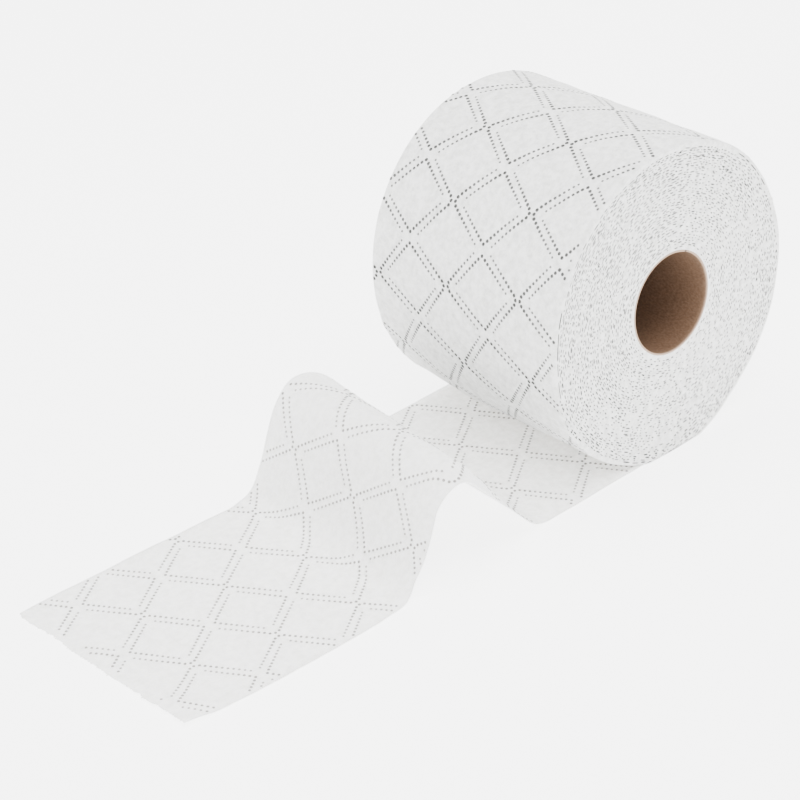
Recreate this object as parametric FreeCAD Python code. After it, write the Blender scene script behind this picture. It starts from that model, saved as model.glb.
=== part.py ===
"""A toilet paper roll that lies on its curved side, with its last sheets run out along the floor.

The frame: the origin is the middle of the core's bore, +Y runs along the bore and +Z is up.
The loose tail leaves the bottom of the winding towards -X, lies flat, stands up in one soft
wave, and lies flat again as far as its torn end.
"""
import FreeCAD
import Part
import os
from FreeCAD import Vector
from math import cos, radians, sin, tan

# The sheet and its winding, in millimetres.
WIDTH = 95.0            # width of the sheet, which is the length of the core
ROLL_RADIUS = 61.0      # outside of the winding
SHEET = 0.4             # one embossed sheet of soft paper
PRESSED = 0.5           # how far the winding's own weight flattens it where it lies
RIM_BEVEL = 0.7         # the soft rim between the winding's side and its ends

# The cardboard tube that the paper is wound on.
BORE_RADIUS = 19.4
CORE_WALL = 0.7

# The lines between turns on the two ends of the winding, each one the edge of a looser turn.
TURN_PITCH = 4.0        # from one line to the next, about a dozen turns of paper
LINE_WIDTH = 0.6
LINE_DEPTH = 0.35
OUTER_LINE = 2.0        # from the outside of the winding in to where the line starts

# The tail. Seen along its fold, the sheet is a run of straight stretches with rounded corners.
# A corner is its distance out from under the roll, its height above the floor and its radius.
WAVE_FOOT = (63.5, 0.0, 10.0)
WAVE_PEAK = (107.5, 47.5, 11.4)
WAVE_LANDING = (125.0, 0.0, 13.0)
WAVE_SKEW = 6.0         # degrees that the wave is turned, in plan, from straight across the sheet
TORN_END = 231.0        # the tear, out from under the roll

FLOOR = PRESSED - ROLL_RADIUS
CORE_RADIUS = BORE_RADIUS + CORE_WALL
AXIS = Vector(0, 1, 0)


def tube(outer, inner):
    """A plain tube along the bore's axis, as long as the sheet is wide."""
    end = Vector(0, -WIDTH / 2, 0)
    return Part.makeCylinder(outer, WIDTH, end, AXIS).cut(Part.makeCylinder(inner, WIDTH, end, AXIS))


def wound_body():
    """The winding as a turned body with soft rims, cut level where it lies on the floor."""
    half = WIDTH / 2
    outline = [(CORE_RADIUS, half), (ROLL_RADIUS - RIM_BEVEL, half), (ROLL_RADIUS, half - RIM_BEVEL)]
    outline += [(radius, -y) for radius, y in reversed(outline)]
    corners = [Vector(radius, y, 0) for radius, y in outline]
    section = Part.Face(Part.makePolygon(corners + corners[:1]))
    below = Part.makeBox(4 * ROLL_RADIUS, 2 * WIDTH, ROLL_RADIUS,
                         Vector(-2 * ROLL_RADIUS, -WIDTH, FLOOR - ROLL_RADIUS))
    return section.revolve(Vector(0, 0, 0), AXIS, 360).cut(below)


def turn_line(side):
    """A shallow V groove that follows the winding inwards over one end of the roll.

    It is a chain of half turns about two centres, each half turn tighter than the last, so
    that the groove runs on without a step, as the edge of the wound sheet does.
    """
    halves = []
    face_y = side * WIDTH / 2
    turns = int((ROLL_RADIUS - OUTER_LINE - CORE_RADIUS) / TURN_PITCH)
    for half_turn in range(2 * turns):
        start = -1 if half_turn % 2 == 0 else 1
        centre = Vector(0, 0, start * TURN_PITCH / 4)
        radius = ROLL_RADIUS - OUTER_LINE - (half_turn + 0.5) * TURN_PITCH / 2
        middle = centre.z + start * radius
        corners = [Vector(0, face_y + side * LINE_DEPTH, middle - LINE_WIDTH),
                   Vector(0, face_y + side * LINE_DEPTH, middle + LINE_WIDTH),
                   Vector(0, face_y - side * LINE_DEPTH, middle)]
        vee = Part.Face(Part.makePolygon(corners + corners[:1]))
        halves.append(vee.revolve(centre, AXIS, -180))
    return halves


def rounded_path(corners, place):
    """A wire through the corners, each one but the ends rounded by an arc of its own radius."""
    spots = [place(distance, height) for distance, height, _ in corners]
    edges = []
    last = spots[0]
    for before, corner, after, (_, _, radius) in zip(spots, spots[1:], spots[2:], corners[1:]):
        back, on = (before - corner).normalize(), (after - corner).normalize()
        half_angle = back.getAngle(on) / 2
        reach = radius / tan(half_angle)
        inwards = (back + on).normalize()
        middle = corner + inwards * (radius / sin(half_angle) - radius)
        edges.append(Part.makeLine(last, corner + back * reach))
        edges.append(Part.Arc(corner + back * reach, middle, corner + on * reach).toShape())
        last = corner + on * reach
    edges.append(Part.makeLine(last, spots[-1]))
    return Part.Wire(edges)


def tail():
    """The loose sheet, drawn out along the wave's own fold and trimmed to the sheet's edges."""
    skew = radians(WAVE_SKEW)
    fold = Vector(sin(skew), cos(skew), 0)
    outwards = Vector(-cos(skew), sin(skew), 0)

    def place(distance, height):
        return outwards * (distance * cos(skew)) - fold * WIDTH + Vector(0, 0, FLOOR + height)

    ends = (-WIDTH, 0.0, 0.0), (TORN_END + WIDTH, 0.0, 0.0)
    path = rounded_path([ends[0], WAVE_FOOT, WAVE_PEAK, WAVE_LANDING, ends[1]], place)
    section = path.makeOffset2D(-SHEET, fill=True, openResult=True)
    sheet = section.extrude(fold * (2 * WIDTH))
    return sheet.common(Part.makeBox(TORN_END, WIDTH, 2 * ROLL_RADIUS,
                                     Vector(-TORN_END, -WIDTH / 2, FLOOR)))


def paper_roll():
    """All the paper: every turn of the winding and the tail that runs out of it, in one piece."""
    body = wound_body().fuse(tail())
    for side in (-1, 1):
        body = body.cut(turn_line(side))
    return body.removeSplitter()


def core_tube():
    """The bare cardboard tube in the middle, cut level with the paper at both ends."""
    return tube(CORE_RADIUS, BORE_RADIUS)


os.makedirs("parts", exist_ok=True)
for name, shape in (("core_tube", core_tube()), ("paper_roll", paper_roll())):
    shape.exportStep(f"parts/{name}.step")
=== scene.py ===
"""A toilet paper roll lying on a pale floor, its loose tail standing up in one soft wave.

The paper is drawn flat, with its rows of pressed dots, and then wound, laid or stood up.
Lengths are in millimetres until a mesh is made.
"""

import math
import random

import bmesh
import bpy
import numpy as np
from mathutils import Matrix, Vector, noise
from mathutils.geometry import delaunay_2d_cdt


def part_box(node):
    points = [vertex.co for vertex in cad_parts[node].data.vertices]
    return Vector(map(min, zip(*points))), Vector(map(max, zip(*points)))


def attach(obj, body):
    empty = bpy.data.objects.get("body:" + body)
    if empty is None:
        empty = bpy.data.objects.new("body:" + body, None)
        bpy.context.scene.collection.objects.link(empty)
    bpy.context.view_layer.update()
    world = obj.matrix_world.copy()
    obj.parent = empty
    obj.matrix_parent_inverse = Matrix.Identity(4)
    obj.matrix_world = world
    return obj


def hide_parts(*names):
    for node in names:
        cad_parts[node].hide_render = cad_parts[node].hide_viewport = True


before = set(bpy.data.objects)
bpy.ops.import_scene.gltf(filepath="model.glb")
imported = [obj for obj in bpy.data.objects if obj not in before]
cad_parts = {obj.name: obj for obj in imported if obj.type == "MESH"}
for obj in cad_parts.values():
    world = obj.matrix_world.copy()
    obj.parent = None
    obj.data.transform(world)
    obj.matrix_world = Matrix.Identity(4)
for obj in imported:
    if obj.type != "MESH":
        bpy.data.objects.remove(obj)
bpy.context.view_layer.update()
MM = 0.001

# Sizes that the frame gives.
PAPER_LOW, PAPER_HIGH = (np.array(corner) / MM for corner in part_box("paper_roll"))
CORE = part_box("core_tube")[1][2] / MM   # outer radius of the cardboard core
ROLL = PAPER_HIGH[2]                    # radius of the winding
HALF = PAPER_HIGH[1]                    # half the width of the sheet
FLOOR = PAPER_LOW[2]
TORN_END = -PAPER_LOW[0]                # distance of the tear from the middle of the roll

# The photograph's view, in metres and degrees: where the camera is and how it is turned.
CAMERA_AT = (-0.6241, -0.6251, 0.4779)
CAMERA_AZIMUTH = 40.43
CAMERA_DOWN = 31.11
CAMERA_ROLL = -4.58
CAMERA_LENS = 120.9

# The cardboard core and its spiral seam.
CORE_WALL = 0.7
CORE_LEAD = 92.0                        # how far along the core its board's seam turns once round
SEAM_AT_NEAR_END = math.radians(66)     # where the seam meets the core's near end
SEAM_GAP = 0.22                         # depth of the gap at the seam
SEAM_STEP = 0.14                        # how far the board stands up beside the gap

# The pressed lattice on the flat sheet: the steps from one diamond to the next, as distance
# along the sheet and across it, and the centre of one diamond on the roll and on the tail.
STEP_ALONG = np.array([30.54, -6.49])
STEP_ACROSS = np.array([6.44, 35.66])
DIAMOND_ON_ROLL = np.array([176.1, -9.9])
DIAMOND_ON_TAIL = np.array([55.8, -9.2])

# Each dot: its smallest and largest radius on the roll and on the tail, and how far it is pressed
# in on the roll and stands out on the tail, whose inner face shows.
ROLL_DOTS = (0.4, 0.76)
TAIL_DOTS = (0.3, 0.46)
DOT_PRESSED = 0.26
DOT_RAISED = 0.2
DOT_SIDES = 7                           # points round a dot's rim, and round its floor
DOT_FLOOR = 0.76                        # radius of a dot's floor, as a share of the dot's
DOT_CLEAR = 0.75                        # how far the sheet's own points keep from a dot's middle

# The slits between the turns on the two ends, their floors painted dark as painted shade.
RIM = 0.7                               # softness of the winding's rims
SLIT_ROWS = 0.95                        # from one row of slits to the next
SLIT_DEPTH = 0.4
SLIT_HALF_WIDTH = (0.16, 0.28)
# How deep a slit's floor sinks, from 0 to 1; this also sets how much painted shade it gets.
SLIT_DEPTH_AND_SHADE = (0.65, 1.0)
SLIT_LEAN = 0.13                        # how much a slit may slope in or out along its length
CROWDED_AT = math.radians(130)          # where the ends show the most slits

# Turns that stand loose near the outside: how far inside the rim, the first and last angle in
# degrees, how much the line wanders in and out, and its longest unbroken piece.
LOOSE_TURNS = [(1.3, 160, 193, 0.15, 12), (1.1, 194, 214, 0.6, 2.2), (2.0, 196, 215, 0.5, 2.5),
               (1.5, 243, 262, 0.2, 5), (1.6, 28, 48, 0.2, 6)]

# The soft roll is pressed a little oval, by this much, and this far round from +X it is least.
OVAL = 1.1
OVAL_TURN = math.radians(20)

# Its own weight makes all but its far end swell beside the floor, by this much and between these
# angles, and pushes its near rim out a little at the foot.
SWELL = 2.2
SWELL_FROM = (math.radians(178), math.radians(212))
SWELL_TO = (math.radians(262), math.radians(290))
FOOT_OUT = 2.2
FOOT_FROM = (math.radians(238), math.radians(264))
FOOT_TO = (math.radians(278), math.radians(310))
CRINKLE_AT = math.radians(206)          # where the near rim of the outer turn is crinkled
CRINKLE_ENDS = (5, 12)                  # how far from there the crinkles begin to end, and end

# Control points of the wave at the tail's two edges: distance out from under the roll, and
# height above the floor. Near the camera the sheet's own edge sags from this.
NEAR_WAVE = [(66, 0), (74, 0), (80.5, 8.5), (100.5, 34), (108.5, 46), (119, 35.5), (121.5, 19.5),
             (132, 0), (140, 0)]
FAR_WAVE = [(56, 0), (69.5, 0), (72, 4.5), (83, 33), (102.5, 39.5), (108.5, 33.5), (114, 26.5),
            (123.5, 0), (131, 0)]
WAVE_STATIONS = 160                     # points along each edge of the wave
SAG = 0.13                              # the share of its height that the near edge loses
SAG_REACH = 9.0                         # how far in from the near edge the sag begins
SAG_ALONG = (118.0, 156.0)              # where it sets in, by distance from the tear
CRUMPLE_FROM = (148, 158)               # where the near edge is crumpled, by distance from the tear
CRUMPLE_TO = (168, 184)
CRUMPLE_REACH = (4, 20)                 # how far in from the near edge the crumples fade

# How far the soft sheet's two edges wander sideways, by distance from the tear.
NEAR_EDGE = [(0, 4.0), (4, 3.2), (11, 2.0), (20, 1.2), (28, 0.5), (50, -0.9), (80, -1.7),
             (95, -0.6), (103, 1.4), (112, 0.4), (130, -0.6), (148, -3.4), (165, -3.0), (200, -1.2),
             (270, -1.5)]
FAR_EDGE = [(0, 1.7), (8, 1.5), (30, 0.6), (48, -0.2), (64, -1.3), (80, -2.2), (92, -3),
            (102, -1.0), (112, 0), (270, 0)]

# The tear: rows of close points, by distance from it, and every other point from SPARSE_ROW on.
TORN_ROWS = (0, 0.35, 0.8, 1.6)
SPARSE_ROW = 0.7
FIBRE_SPACING = 0.34
FIRST_DOTS = 2.6                        # no dot is nearer to the tear
THICKNESS = 0.28                        # of the loose sheet


# Small helpers

def smooth(low, high, value):
    """0 below low, 1 above high, and an easy curve between."""
    t = np.clip((value - low) / (high - low), 0, 1)
    return t * t * (3 - 2 * t)


def ripple(points, scale, seed):
    """Soft noise from about -1 to 1 at flat points."""
    return np.array([noise.noise(Vector((x / scale, y / scale, seed))) for x, y in points])


def triangulate(points, edges=()):
    """Triangles over flat points, which come back in the same order, along the given edges."""
    flat = [Vector((float(x), float(y))) for x, y in points]
    verts, _, faces, origins, _, _ = delaunay_2d_cdt(flat, list(edges), [], 0, 1e-7)
    back = [group[0] if group else int(np.hypot(*(points - np.array(vert)).T).argmin())
            for vert, group in zip(verts, origins)]
    found = np.array([[back[i] for i in face] for face in faces])
    return found[(found[:, 0] != found[:, 1]) & (found[:, 1] != found[:, 2])
                 & (found[:, 2] != found[:, 0])]


def make_piece(name, points, triangles, tone, material):
    """A smooth mesh in metres, where each face keeps its deepest point's depth as a tone, which the
    material paints as shade (and on the dots partly as pressed fibre).
    """
    mesh = bpy.data.meshes.new(name)
    mesh.from_pydata((points * MM).tolist(), [], triangles.tolist())
    pressed = tone[triangles].max(1).astype(np.float32)
    mesh.attributes.new("pressed", "FLOAT", "FACE").data.foreach_set("value", pressed)
    mesh.polygons.foreach_set("use_smooth", [True] * len(mesh.polygons))
    mesh.materials.append(material)
    piece = bpy.data.objects.new(name, mesh)
    bpy.context.scene.collection.objects.link(piece)
    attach(piece, "root")
    weld(piece)
    return piece


def weld(piece):
    """Join points that coincide and turn every face the same way."""
    bm = bmesh.new()
    bm.from_mesh(piece.data)
    bmesh.ops.remove_doubles(bm, verts=bm.verts, dist=2e-6)
    bmesh.ops.recalc_face_normals(bm, faces=bm.faces)
    bm.to_mesh(piece.data)
    bm.free()


# The pressed dots

def diamond_dots():
    """One diamond's dots: two nested dotted outlines, as lattice steps from its centre and size.

    The inner outline is bold at the two points along the sheet and fades towards the others;
    the outer one is bold and rounded at the two points across the sheet and fades likewise.
    """
    dots = []
    for end in (-1, 1):
        dots.append((end * 0.432, 0.0, 1.0))
        dots.append((0.0, end * 0.47, 1.0))
        for side in (-1, 1):
            dots += [(end * (0.432 - 0.0415 * n), side * (0.006 + 0.0372 * n), 1 - 0.075 * n)
                     for n in range(1, 10)]
            dots += [(side * (0.055 + 0.0435 * n), end * (0.452 - 0.0375 * n), 1 - 0.08 * n)
                     for n in range(10)]
    return dots


def lattice_dots(centre, low, high, margin):
    """Every dot between two corners of a flat sheet: along, across and size."""
    steps = np.array([STEP_ALONG, STEP_ACROSS])
    # Enough rows and columns to cover the sheet from any diamond on it.
    reach = int(max(high - low) / 25) + 3
    found = []
    for row in range(-reach, reach + 1):
        for column in range(-reach, reach + 1):
            for along, across, size in diamond_dots():
                spot = centre + np.array([row + along, column + across]) @ steps
                if np.all(spot > low + margin) and np.all(spot < high - margin):
                    found.append((spot[0], spot[1], size))
    return np.array(found)


def sheet_grid(low, high, spacing, dots):
    """An even grid of points that leaves the dots' own places free, but for the sheet's edges."""
    counts = np.maximum(2, np.ceil((high - low) / spacing)).astype(int)
    axes = [np.linspace(low[i], high[i], counts[i] + 1) for i in (0, 1)]
    grid = np.stack(np.meshgrid(*axes, indexing="ij"), -1).reshape(-1, 2)
    edge = np.any((np.abs(grid - low) < 1e-9) | (np.abs(grid - high) < 1e-9), axis=1)
    clear = np.ones(len(grid), bool)
    # The dots are taken a few hundred at a time, to keep the table of distances small.
    for start in range(0, len(dots), 400):
        some = dots[start:start + 400, :2]
        clear &= np.abs(grid[:, None] - some[None]).max(2).min(1) > DOT_CLEAR
    return grid[edge | clear]


def torn_rows(low, high):
    """The rows of close points beside the tear."""
    close = np.linspace(low[1], high[1], round((high[1] - low[1]) / FIBRE_SPACING) + 1)
    rows = []
    for distance in TORN_ROWS:
        across = close[::2] if distance > SPARSE_ROW else close
        rows.append(np.stack([np.full_like(across, distance), across], -1))
    return rows


def embossed_sheet(low, high, spacing, dots, sizes, torn=False):
    """Flat points of a sheet with its dots, how deep each is pressed from 0 to 1, and triangles.

    A torn sheet has rows of close points beside its low edge.
    """
    keep = sheet_grid(low, high, spacing, dots)
    if torn:
        keep = keep[keep[:, 0] > max(TORN_ROWS) + 0.2]
        keep = np.concatenate([keep, *torn_rows(low, high)])
    angles = np.arange(DOT_SIDES) * 2 * np.pi / DOT_SIDES
    ring = np.stack([np.cos(angles), np.sin(angles)], -1)
    smallest, largest = sizes
    radius = smallest + (largest - smallest) * dots[:, 2]
    outer = (dots[:, None, :2] + ring[None] * radius[:, None, None]).reshape(-1, 2)
    inner = (dots[:, None, :2] + ring[None] * DOT_FLOOR * radius[:, None, None]).reshape(-1, 2)
    # A faint dot is a little less deep than a bold one.
    pressed = np.repeat(0.78 + 0.22 * dots[:, 2], DOT_SIDES)
    depth = np.concatenate([np.zeros(len(keep) + len(outer)), pressed])
    points = np.concatenate([keep, outer, inner])
    return points, depth, triangulate(points)


def quilting(points, centre):
    """How far the soft paper stands up inside the diamonds, from 0 on the dotted lines to 1."""
    steps = np.linalg.inv(np.array([STEP_ALONG, STEP_ACROSS]))
    cell = (points - centre) @ steps
    cell = np.abs(cell - np.round(cell))
    return smooth(0.02, 0.22, np.abs(0.47 - cell.sum(1)))


# The winding

def between(start, end, angle):
    """1 for angles from the start to the end, with soft ends, and 0 for the rest."""
    turned = angle % (2 * math.pi)
    return smooth(*start, turned) * (1 - smooth(*end, turned))


def pressed_oval(angle, radius, across):
    """How far the soft winding gives or swells at a place; the cardboard core gives less."""
    share = 0.45 + 0.55 * smooth(CORE, 0.8 * ROLL, radius)
    swell = SWELL * between(SWELL_FROM, SWELL_TO, angle) * smooth(0.5 * ROLL, ROLL, radius)
    swell *= smooth(0, 0.7 * HALF, HALF - across)
    return swell - share * OVAL * np.cos(2 * (angle - OVAL_TURN)) - 0.1 * smooth(CORE, ROLL, radius)


def rim_wave(angle, side):
    """How far the soft rim of one end stands out or in.

    The near rim is crinkled at one place, low on its left, and pushed out at its foot.
    """
    spots = np.stack([np.cos(angle), np.sin(angle)], -1) * ROLL
    wave = 0.35 * ripple(spots, 22, 14.0 + side) + 0.12 * ripple(spots, 6, 17.0 + side)
    if side < 0:
        off = np.abs((angle - CRINKLE_AT + math.pi) % (2 * math.pi) - math.pi) * ROLL
        wave += (1 - smooth(*CRINKLE_ENDS, off)) * (1.1 * ripple(spots, 2.2, 19.0) - 0.3)
        wave += FOOT_OUT * between(FOOT_FROM, FOOT_TO, angle)
    return side * wave


def crumple(flat):
    """The fine unevenness of the outer turn, with a few sharp creases."""
    creases = 0.22 * (1 - smooth(0, 0.22, np.abs(ripple(flat, 7, 3.0)))) * ripple(flat, 16, 4.0)
    return 0.16 * ripple(flat, 9, 1.0) + 0.08 * ripple(flat, 3.5, 2.0) - creases


def wound_side(material):
    """The outer turn of the winding: its dots pressed in, its soft rims, and its flat spot."""
    reach = HALF - RIM + RIM * math.pi / 2
    low = np.array([-math.pi / 2 * ROLL, -reach])
    high = np.array([1.5 * math.pi * ROLL, reach])
    dots = lattice_dots(DIAMOND_ON_ROLL, low, high, 1.0)
    flat, depth, triangles = embossed_sheet(low, high, 1.5, dots, ROLL_DOTS)
    around, across = flat[:, 0] / ROLL, flat[:, 1]
    over = np.clip(np.abs(across) - (HALF - RIM), 0, None) / RIM
    inside = 1 - smooth(HALF - 3, HALF - RIM, np.abs(across))
    puff = 0.16 * quilting(flat, DIAMOND_ON_ROLL) - 0.16
    # The seam at the bottom has to close, so the crumple dies away there.
    calm = np.sqrt(np.clip(np.sin((around + math.pi / 2) / 2), 0, 1))
    radius = ROLL - RIM * (1 - np.cos(over)) + inside * (puff + crumple(flat) * calm - 0.02)
    radius += pressed_oval(around, radius, across) - DOT_PRESSED * depth
    y = np.sign(across) * (np.minimum(np.abs(across), HALF - RIM) + RIM * np.sin(over))
    for side in (-1, 1):
        y += rim_wave(around, side) * smooth(HALF - 8, HALF, side * across)
    points = np.stack([radius * np.cos(around), y, np.maximum(radius * np.sin(around), FLOOR)], -1)
    return make_piece("wound_paper", points, triangles, depth, material)


def crowding(radius, angle, spot):
    """How crowded the slits are at a spot of an end, from 0 for few."""
    crowd = 0.6 + 1.1 * noise.noise(spot / 9) + 0.8 * noise.noise(spot / 3)
    crowd += 0.35 * math.cos(angle - CROWDED_AT) + 0.06 * max(0.0, radius - 48)
    return max(0.0, crowd)


def on_loose_turn(radius, angle):
    """Whether a slit would lie on one of the loose turns or beside it."""
    return any(abs(radius - ROLL + inside) < 0.5 + wander
               and first - 3 < math.degrees(angle) < last + 1
               for inside, first, last, wander, _ in LOOSE_TURNS)


def slits_in_rows(side, rng):
    """Short slits between the wavy turns, crowded in some places and few in others."""
    slits = []
    for row in range(1, int((ROLL - RIM - 0.6 - CORE) / SLIT_ROWS)):
        angle = rng.random() * 0.1
        while angle < 2 * math.pi:
            radius = CORE + SLIT_ROWS * (row + angle / (2 * math.pi))
            spot = Vector((radius * math.cos(angle), radius * math.sin(angle), 3.0 * side))
            crowd = crowding(radius, angle, spot)
            # The rows run true beside the core and the rim, and waver between.
            waver = min(1.0, (radius - CORE) / 4, (ROLL - RIM - radius) / 4)
            radius += waver * 1.1 * noise.noise(spot / 6) + rng.uniform(-0.28, 0.28)
            radius = min(max(radius, CORE + 0.6), ROLL - RIM - 0.5)
            length = rng.uniform(0.6, 1.5 + 1.1 * crowd)
            if not on_loose_turn(radius, angle):
                slits.append((radius, angle + length / 2 / radius, length,
                              rng.uniform(*SLIT_HALF_WIDTH), rng.uniform(*SLIT_DEPTH_AND_SHADE),
                              rng.uniform(-SLIT_LEAN, SLIT_LEAN)))
            angle += (length + 0.4 + 2.2 * math.exp(-1.5 * crowd) * rng.expovariate(0.8)) / radius
    return slits


def slits_by_loose_turns(rng):
    """Longer slits beside the turns that stand loose near the outside, sunk fully and painted with full
    shade.
    """
    slits = []
    for inside, first, last, wander, longest in LOOSE_TURNS:
        angle = math.radians(first)
        while angle < math.radians(last):
            length = rng.uniform(0.4, 1) * longest
            radius = ROLL - inside + rng.uniform(-wander, wander)
            slits.append((radius, angle + length / 2 / radius, length, rng.uniform(0.15, 0.3), 1.0, 0.0))
            angle += (length + rng.uniform(0.4, 0.12 * longest + 0.5)) / radius
    return slits


def gaps_between_turns(side):
    """One end's slits, each as radius, angle, length, half width, depth (which also sets its painted
    shade) and lean.
    """
    rng = random.Random(11 if side < 0 else 12)
    return slits_in_rows(side, rng) + slits_by_loose_turns(rng)


def end_layout(side):
    """Flat points of one end, how deep each is pressed (which the material also paints as shade), and the
    edges of its slits.
    """
    rng = random.Random(21 if side < 0 else 22)
    points, depth, edges = [], [], []

    def add(radius, angle, pressed=0.0):
        """Add a point and give its number."""
        points.append((radius * math.cos(angle), radius * math.sin(angle)))
        depth.append(pressed)
        return len(points) - 1

    count = 384
    for circle in (CORE, ROLL - RIM):
        for n in range(count):
            add(circle, 2 * math.pi * n / count)
    # Loose rings of points fill the plain paper between the slits.
    radius = CORE + 1.2
    while radius < ROLL - RIM - 1.9:
        around = int(2 * math.pi * radius / 2.4)
        for n in range(around):
            add(radius, 2 * math.pi * (n + rng.random() * 0.5) / around)
        radius += 1.9
    for radius, angle, length, half, depth_and_shade, lean in gaps_between_turns(side):
        stations = max(2, round(length / 1.6))
        tip = length / 2 / radius
        steps = [((2 * n + 1) / stations - 1) * tip for n in range(stations)]
        line = [(radius + lean * step * radius, angle + step) for step in steps]
        rim = [add(radius - lean * length / 2, angle - tip)]
        rim += [add(r + half, turn) for r, turn in line]
        rim += [add(radius + lean * length / 2, angle + tip)]
        rim += [add(r - half, turn) for r, turn in line[::-1]]
        # A slit's floor sinks by its depth, and the material paints it dark by the same depth as painted
        # shade.
        floor = [add(r, turn, depth_and_shade) for r, turn in line]
        edges += list(zip(rim, rim[1:] + rim[:1])) + list(zip(floor, floor[1:]))
    return np.array(points), np.array(depth), edges


def wound_end(side, material):
    """One end of the winding: the edges of all its turns, with the slits between them, painted dark as
    shade.
    """
    flat, depth, edges = end_layout(side)
    triangles = triangulate(flat, edges)
    middle = flat[triangles].mean(1)
    triangles = triangles[np.hypot(middle[:, 0], middle[:, 1]) > CORE * 0.9999]
    r, angle = np.hypot(flat[:, 0], flat[:, 1]), np.arctan2(flat[:, 1], flat[:, 0])
    rows = np.stack([r, np.zeros_like(r)], -1)
    calm = smooth(CORE, CORE + 2, r) * (1 - smooth(ROLL - RIM - 3, ROLL - RIM, r))
    uneven = 0.08 * ripple(rows, 0.9, 5.0 + side) + 0.16 * ripple(flat, 12, 6.0 + side)
    y = side * (HALF + calm * (uneven - 0.12) - SLIT_DEPTH * depth)
    y += rim_wave(angle, side) * smooth(ROLL - 14, ROLL - RIM, r)
    r = r + pressed_oval(angle, r, side * HALF)
    points = np.stack([r * np.cos(angle), y, np.maximum(r * np.sin(angle), FLOOR)], -1)
    name = "wound_end_near" if side < 0 else "wound_end_far"
    return make_piece(name, points, triangles, depth, material)


def cardboard_core(material):
    """The core: a tube of board wound in a spiral, with a small step and gap at its seam."""
    seam = [-0.5, -0.25, 0, 0.25, 0.5]
    columns = np.concatenate([seam, np.linspace(2, 2 * math.pi * CORE - 2, 90)])
    columns = np.sort(columns) / CORE
    rows = np.linspace(-HALF, HALF, 49)
    gap = SEAM_GAP * np.exp(-(columns * CORE / 0.3) ** 2)
    step = SEAM_STEP * np.exp(-np.clip(columns * CORE, 0, None) / 9) * (columns > 0)
    profile = [(CORE, row) for row in rows] + [(CORE - CORE_WALL, row) for row in rows[::-1]]
    points, tone = [], []
    for turn, cut, lift in zip(columns, gap, step):
        for place, (radius, y) in enumerate(profile):
            angle = SEAM_AT_NEAR_END + turn + 2 * math.pi * (y + HALF) / CORE_LEAD
            inner = place >= len(rows)
            worn = 0.03 * noise.noise(Vector((radius * math.cos(angle) / 4, y / 4, math.sin(angle) * 5)))
            radius += (cut - lift + worn) * inner + pressed_oval(angle, CORE, y)
            points.append((radius * math.cos(angle), y, radius * math.sin(angle)))
            # The gap at the seam gets painted shade, as deep as the gap.
            tone.append(cut / SEAM_GAP * inner)
    size, around = len(profile), len(columns)
    quads = [[a * size + b, a * size + (b + 1) % size, (a + 1) % around * size + (b + 1) % size,
              (a + 1) % around * size + b] for a in range(around) for b in range(size)]
    return make_piece("cardboard_core", np.array(points), np.array(quads), np.array(tone), material)


# The tail

def edge_path(wave):
    """The course of one edge of the tail, from the tear to under the roll, and its lengths."""
    poles = np.array(wave, float)
    # A uniform cubic spline through its control points, with its ends clamped.
    knots = np.concatenate([[0] * 3, np.linspace(0, 1, len(poles) - 2), [1] * 3])
    course = []
    for u in np.linspace(0, 1 - 1e-9, WAVE_STATIONS):
        basis = np.where((knots[:-1] <= u) & (u < knots[1:]), 1.0, 0.0)
        for degree in range(1, 4):
            left = knots[degree:-1] - knots[:-degree - 1]
            right = knots[degree + 1:] - knots[1:-degree]
            first = np.divide(u - knots[:-degree - 1], left, out=np.zeros_like(left), where=left > 0)
            last = np.divide(knots[degree + 1:] - u, right, out=np.zeros_like(right), where=right > 0)
            basis = first * basis[:-1] + last * basis[1:]
        course.append(basis @ poles)
    path = np.array([[0.0, 0.0], *course, [TORN_END, 0.0]])[::-1]
    lengths = np.concatenate([[0], np.cumsum(np.hypot(*np.diff(path, axis=0).T))])
    return path, lengths


def torn(flat):
    """How far along each point lies once the low edge is torn into short fibres and scallops."""
    along = flat[:, 0]
    rough = flat * np.array([0.0, 1.0])
    fibres = (1 - smooth(0, 0.9, along)) * (0.9 * ripple(rough, 0.55, 7.0) - 0.1)
    scallops = (1 - smooth(0, 4, along)) * (1.3 * np.abs(ripple(rough, 5, 8.0)) + ripple(rough, 17, 9.0))
    return along + fibres + scallops - 0.5 * (1 - smooth(0, 4, along))


def lift(flat, along, length):
    """How far each point stands off the tail's smooth course: its curl, waver and crumples."""
    across = flat[:, 1]
    curl = 1.2 * (1 - smooth(0, 16, along)) * (1 - smooth(-HALF, -HALF + 45, across))
    free = smooth(0, 6, along) * (1 - smooth(length - 50, length - 20, along))
    waver = free * (0.3 * ripple(flat, 24, 3.0) + 0.1 * ripple(flat, 7, 4.0) + 0.1)
    # The near edge is crumpled a little where it sags from the wave's crest.
    crumpled = smooth(*CRUMPLE_FROM, along) * (1 - smooth(*CRUMPLE_TO, along))
    inner_from, inner_to = CRUMPLE_REACH
    crumpled *= 1 - smooth(inner_from - HALF, inner_to - HALF, across)
    waver += crumpled * (0.5 * ripple(flat, 5, 11.0) + 0.4 * np.abs(ripple(flat, 3, 12.0)))
    return 0.3 + np.maximum(curl + waver + 0.1 * quilting(flat, DIAMOND_ON_TAIL), 0)


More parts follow.
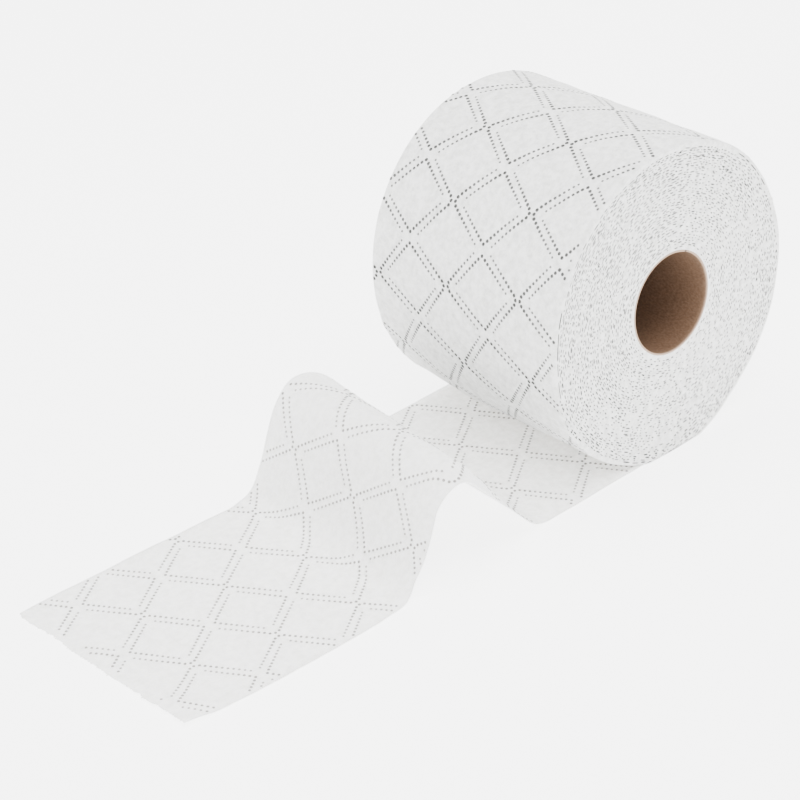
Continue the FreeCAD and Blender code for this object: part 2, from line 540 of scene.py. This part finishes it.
def loose_tail(material):
    """The loose sheet, with its dots standing out on the inner face, which here looks up."""
    (near, near_lengths), (far, far_lengths) = edge_path(NEAR_WAVE), edge_path(FAR_WAVE)
    length = min(near_lengths[-1], far_lengths[-1])

    def on_sheet(distance, share):
        """Out and up of one point: the sheet bends along straight lines from edge to edge."""
        lengths = (1 - share) * near_lengths + share * far_lengths
        course = (1 - share) * near + share * far
        return [np.interp(distance, lengths, course[:, axis]) for axis in (0, 1)]

    def laid(along, across):
        """Places of flat points on the standing sheet."""
        share = (across + HALF) / (2 * HALF)
        out, up = np.array([on_sheet(*point) for point in zip(along, share)]).T
        sagging = smooth(*SAG_ALONG, along) * (1 - smooth(-HALF, SAG_REACH - HALF, across))
        up = up * (1 - SAG * sagging)
        near_in, far_in = (np.interp(along, *np.array(edge, float).T) for edge in (NEAR_EDGE, FAR_EDGE))
        out = out + np.clip(-along, 0, None)
        return np.stack([-out, across + near_in * (1 - share) + far_in * share, FLOOR + up], -1)

    low, high = np.array([0.0, -HALF]), np.array([length, HALF])
    dots = lattice_dots(DIAMOND_ON_TAIL, low, high, 1.0)
    dots = dots[dots[:, 0] > FIRST_DOTS]
    flat, depth, triangles = embossed_sheet(low, high, 1.8, dots, TAIL_DOTS, torn=True)
    along, across = torn(flat), flat[:, 1]
    ahead = laid(np.minimum(along + 0.5, length), across) - laid(along - 0.5, across)
    beside = laid(along, across + 0.5) - laid(along, across - 0.5)
    normal = np.cross(ahead, beside)
    normal /= np.linalg.norm(normal, axis=1)[:, None]
    normal *= np.sign(normal[:, 2:] + 1e-9)
    points = laid(along, across) + normal * (lift(flat, along, length) + DOT_RAISED * depth)[:, None]
    piece = make_piece("loose_tail", points, triangles, depth, material)
    thickness = piece.modifiers.new("thickness", "SOLIDIFY")
    thickness.thickness = THICKNESS * MM
    thickness.offset = -1
    return piece


# Materials

def new_material(name):
    """An empty material, with its nodes and its links."""
    material = bpy.data.materials.new(name)
    material.use_nodes = True
    return material, material.node_tree.nodes, material.node_tree.links


def noise_node(nodes, scale, detail, roughness=0.5):
    """Fine noise over the piece."""
    node = nodes.new("ShaderNodeTexNoise")
    node.inputs["Scale"].default_value = scale
    node.inputs["Detail"].default_value = detail
    node.inputs["Roughness"].default_value = roughness
    return node


def ramp_node(nodes, *stops):
    """A ramp between two stops, each a position and a colour."""
    node = nodes.new("ShaderNodeValToRGB")
    for element, (position, colour) in zip(node.color_ramp.elements, stops):
        element.position = position
        element.color = colour
    return node


def mix_node(nodes, colour):
    """A mix that turns a colour into the given one."""
    node = nodes.new("ShaderNodeMix")
    node.data_type = "RGBA"
    node.inputs["B"].default_value = colour
    return node


def pressed_node(nodes):
    """How deep the mesh is pressed in at each face, which the materials turn into painted shade."""
    node = nodes.new("ShaderNodeAttribute")
    node.attribute_name = "pressed"
    return node


def bump_node(nodes, strength, distance):
    """Fine relief, finer than the mesh can hold."""
    node = nodes.new("ShaderNodeBump")
    node.inputs["Strength"].default_value = strength
    node.inputs["Distance"].default_value = distance
    return node


def tissue(name, white, thin, pressed_and_shade_colour, see_through=0.0):
    """Soft off-white tissue, greyer where its fibres are thin and darker where it is pressed: painted
    shade in the slits, and on the dots partly denser pressed fibre and partly painted shade.

    A single sheet also lets some of the light through.
    """
    material, nodes, links = new_material(name)
    shader = nodes["Principled BSDF"]
    shader.inputs["Roughness"].default_value = 0.95
    shader.inputs["Specular IOR Level"].default_value = 0.15
    shader.inputs["Sheen Weight"].default_value = 0.15
    shader.inputs["Sheen Roughness"].default_value = 0.6
    shader.inputs["Subsurface Weight"].default_value = see_through
    shader.inputs["Subsurface Radius"].default_value = (1.0, 0.96, 0.9)
    shader.inputs["Subsurface Scale"].default_value = 0.0015
    place = nodes.new("ShaderNodeTexCoord")
    cloud = noise_node(nodes, 380, 8, 0.68)
    tint = ramp_node(nodes, (0.32, (thin, thin, 0.97 * thin, 1)), (0.60, (white, white, 0.983 * white, 1)))
    pressed = pressed_node(nodes)
    mix = mix_node(nodes, pressed_and_shade_colour)
    fibre = noise_node(nodes, 1400, 3)
    bump = bump_node(nodes, 0.4, 0.0004)
    links.new(place.outputs["Object"], cloud.inputs["Vector"])
    links.new(place.outputs["Object"], fibre.inputs["Vector"])
    links.new(cloud.outputs["Fac"], tint.inputs["Fac"])
    links.new(pressed.outputs["Fac"], mix.inputs["Factor"])
    links.new(tint.outputs["Color"], mix.inputs["A"])
    links.new(mix.outputs["Result"], shader.inputs["Base Color"])
    links.new(fibre.outputs["Fac"], bump.inputs["Height"])
    links.new(bump.outputs["Normal"], shader.inputs["Normal"])
    return material


def kraft_board():
    """Brown board with darker fibres, a paler cut edge at the tube's two ends and painted shade in the gap
    at its seam.
    """
    material, nodes, links = new_material("kraft_board")
    shader = nodes["Principled BSDF"]
    shader.inputs["Roughness"].default_value = 0.8
    shader.inputs["Specular IOR Level"].default_value = 0.25
    place = nodes.new("ShaderNodeTexCoord")
    stretch = nodes.new("ShaderNodeMapping")
    stretch.inputs["Scale"].default_value = (1.0, 0.6, 1.0)
    fibre = noise_node(nodes, 1500, 6)
    tint = ramp_node(nodes, (0.3, (0.10, 0.055, 0.03, 1)), (0.75, (0.15, 0.09, 0.055, 1)))
    facing = nodes.new("ShaderNodeNewGeometry")
    split = nodes.new("ShaderNodeSeparateXYZ")
    strong = nodes.new("ShaderNodeMath")
    strong.operation = "ABSOLUTE"
    rim = nodes.new("ShaderNodeMapRange")
    rim.inputs["From Min"].default_value = 0.5
    rim.inputs["From Max"].default_value = 0.9
    cut_edge = mix_node(nodes, (0.36, 0.25, 0.18, 1))
    seam = pressed_node(nodes)
    shade = mix_node(nodes, (0.02, 0.012, 0.008, 1))
    bump = bump_node(nodes, 0.3, 0.0002)
    links.new(place.outputs["Object"], stretch.inputs["Vector"])
    links.new(stretch.outputs["Vector"], fibre.inputs["Vector"])
    links.new(fibre.outputs["Fac"], tint.inputs["Fac"])
    links.new(facing.outputs["Normal"], split.inputs["Vector"])
    links.new(split.outputs["Y"], strong.inputs[0])
    links.new(strong.outputs["Value"], rim.inputs["Value"])
    links.new(rim.outputs["Result"], cut_edge.inputs["Factor"])
    links.new(tint.outputs["Color"], cut_edge.inputs["A"])
    links.new(seam.outputs["Fac"], shade.inputs["Factor"])
    links.new(cut_edge.outputs["Result"], shade.inputs["A"])
    links.new(shade.outputs["Result"], shader.inputs["Base Color"])
    links.new(fibre.outputs["Fac"], bump.inputs["Height"])
    links.new(bump.outputs["Normal"], shader.inputs["Normal"])
    return material


def floor_paint():
    """A matt white floor that glows a little, so that it comes out as pale as the photograph's."""
    material, nodes, _ = new_material("studio_floor")
    shader = nodes["Principled BSDF"]
    shader.inputs["Base Color"].default_value = (0.9, 0.9, 0.9, 1)
    shader.inputs["Roughness"].default_value = 1.0
    shader.inputs["Specular IOR Level"].default_value = 0.0
    shader.inputs["Emission Color"].default_value = (1, 1, 1, 1)
    shader.inputs["Emission Strength"].default_value = 2.9
    return material


# The stage

def studio_floor():
    """A plain floor just under the roll."""
    mesh = bpy.data.meshes.new("floor")
    size, z = 4.0, (FLOOR - 0.02) * MM
    mesh.from_pydata([(-size, -size, z), (size, -size, z), (size, size, z), (-size, size, z)], [],
                     [(0, 1, 2, 3)])
    mesh.materials.append(floor_paint())
    floor = bpy.data.objects.new("floor", mesh)
    bpy.context.scene.collection.objects.link(floor)


def soft_light(name, place, size, power):
    """A square light that looks at the roll."""
    light = bpy.data.lights.new(name, "AREA")
    light.shape = "SQUARE"
    light.size = size
    light.energy = power
    lamp = bpy.data.objects.new(name, light)
    lamp.location = place
    lamp.rotation_euler = (Vector((-0.05, 0, 0)) - Vector(place)).to_track_quat("-Z", "Y").to_euler()
    bpy.context.scene.collection.objects.link(lamp)


def studio_light():
    """Even white light from all round, and a soft light overhead."""
    world = bpy.data.worlds.new("studio")
    world.use_nodes = True
    world.node_tree.nodes["Background"].inputs["Color"].default_value = (1, 1, 1, 1)
    world.node_tree.nodes["Background"].inputs["Strength"].default_value = 2.4
    bpy.context.scene.world = world
    soft_light("overhead", (-0.05, -0.1, 1.5), 1.6, 50.0)


def photo_camera():
    """The photograph's view: looking along an azimuth from +Y, down, and rolled a little."""
    azimuth, down, roll = (math.radians(a) for a in (CAMERA_AZIMUTH, CAMERA_DOWN, CAMERA_ROLL))
    ahead = Vector((math.sin(azimuth) * math.cos(down), math.cos(azimuth) * math.cos(down),
                    -math.sin(down)))
    level = ahead.cross(Vector((0, 0, 1))).normalized()
    above = level.cross(ahead)
    right = level * math.cos(roll) + above * math.sin(roll)
    up = above * math.cos(roll) - level * math.sin(roll)
    data = bpy.data.cameras.new("camera")
    data.lens = CAMERA_LENS
    data.sensor_width = 36.0
    camera = bpy.data.objects.new("camera", data)
    turn = Matrix((right, up, -ahead)).transposed().to_4x4()
    camera.matrix_world = Matrix.Translation(CAMERA_AT) @ turn
    bpy.context.scene.collection.objects.link(camera)
    bpy.context.scene.camera = camera


# The dots' dark colour, on the side and on the tail, is partly denser pressed fibre and partly painted
# shade in and around the dents and bumps.
side_paper = tissue("tissue_side", 0.86, 0.6, (0.07, 0.07, 0.067, 1))
# The ends' tissue is a little darker than the side's as painted shade on the upright end faces, and its
# near-black pressed colour is painted shade in the slits.
shaded_end_paper = tissue("tissue_ends_shaded", 0.82, 0.54, (0.02, 0.02, 0.018, 1))
tail_paper = tissue("tissue_tail", 0.83, 0.66, (0.17, 0.168, 0.163, 1), see_through=0.65)
wound = wound_side(side_paper)
ends = [wound_end(side, shaded_end_paper) for side in (-1, 1)]
tail = loose_tail(tail_paper)
for piece in (wound, *ends, tail):
    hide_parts("paper_roll")
core = cardboard_core(kraft_board())
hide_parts("core_tube")
studio_floor()
studio_light()
photo_camera()
